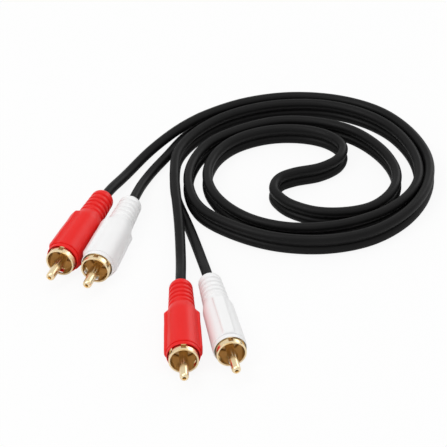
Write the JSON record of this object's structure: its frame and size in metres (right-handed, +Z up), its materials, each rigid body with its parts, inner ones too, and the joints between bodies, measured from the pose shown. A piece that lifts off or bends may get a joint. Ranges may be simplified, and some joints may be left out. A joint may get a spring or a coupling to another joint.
{
  "type": "rca audio cable",
  "caption": "Stereo RCA audio cable, black twin lead laid in a flat double spiral, split at both ends into red and white moulded plugs with gold contacts",
  "frame": {"origin": "on the surface that the lead lies on, in the middle of the four plugs", "axes": "+Z up; the front pair of plugs points roughly towards -Y, and the coil lies towards +X and +Y"},
  "size_m": [0.1251, 0.149, 0.0119],
  "materials": {
    "jacket": "smooth satin black",
    "red_boot": "soft red moulding, low sheen",
    "white_boot": "soft white moulding, low sheen",
    "contact": "bright gold plating",
    "insulator": "plain dark moulding",
    "inner_mould": "natural, unfinished",
    "core_cover": "natural, smooth",
    "wire": "bare copper"
  },
  "bodies": {
    "root": {"twin_cable": "jacket", "back_red_boot": "red_boot", "back_red_inner_mould": "inner_mould", "back_red_ground_collar": "contact", "back_red_insulator": "insulator", "back_red_centre_pin": "contact", "back_red_core_wire": "wire", "back_red_core_cover": "core_cover", "back_red_shield_wire": "wire", "back_red_lead": "jacket", "back_white_boot": "white_boot", "back_white_inner_mould": "inner_mould", "back_white_ground_collar": "contact", "back_white_insulator": "insulator", "back_white_centre_pin": "contact", "back_white_core_wire": "wire", "back_white_core_cover": "core_cover", "back_white_shield_wire": "wire", "back_white_lead": "jacket", "front_red_boot": "red_boot", "front_red_inner_mould": "inner_mould", "front_red_ground_collar": "contact", "front_red_insulator": "insulator", "front_red_centre_pin": "contact", "front_red_core_wire": "wire", "front_red_core_cover": "core_cover", "front_red_shield_wire": "wire", "front_red_lead": "jacket", "front_white_boot": "white_boot", "front_white_inner_mould": "inner_mould", "front_white_ground_collar": "contact", "front_white_insulator": "insulator", "front_white_centre_pin": "contact", "front_white_core_wire": "wire", "front_white_core_cover": "core_cover", "front_white_shield_wire": "wire", "front_white_lead": "jacket"}
  },
  "joints": []
}
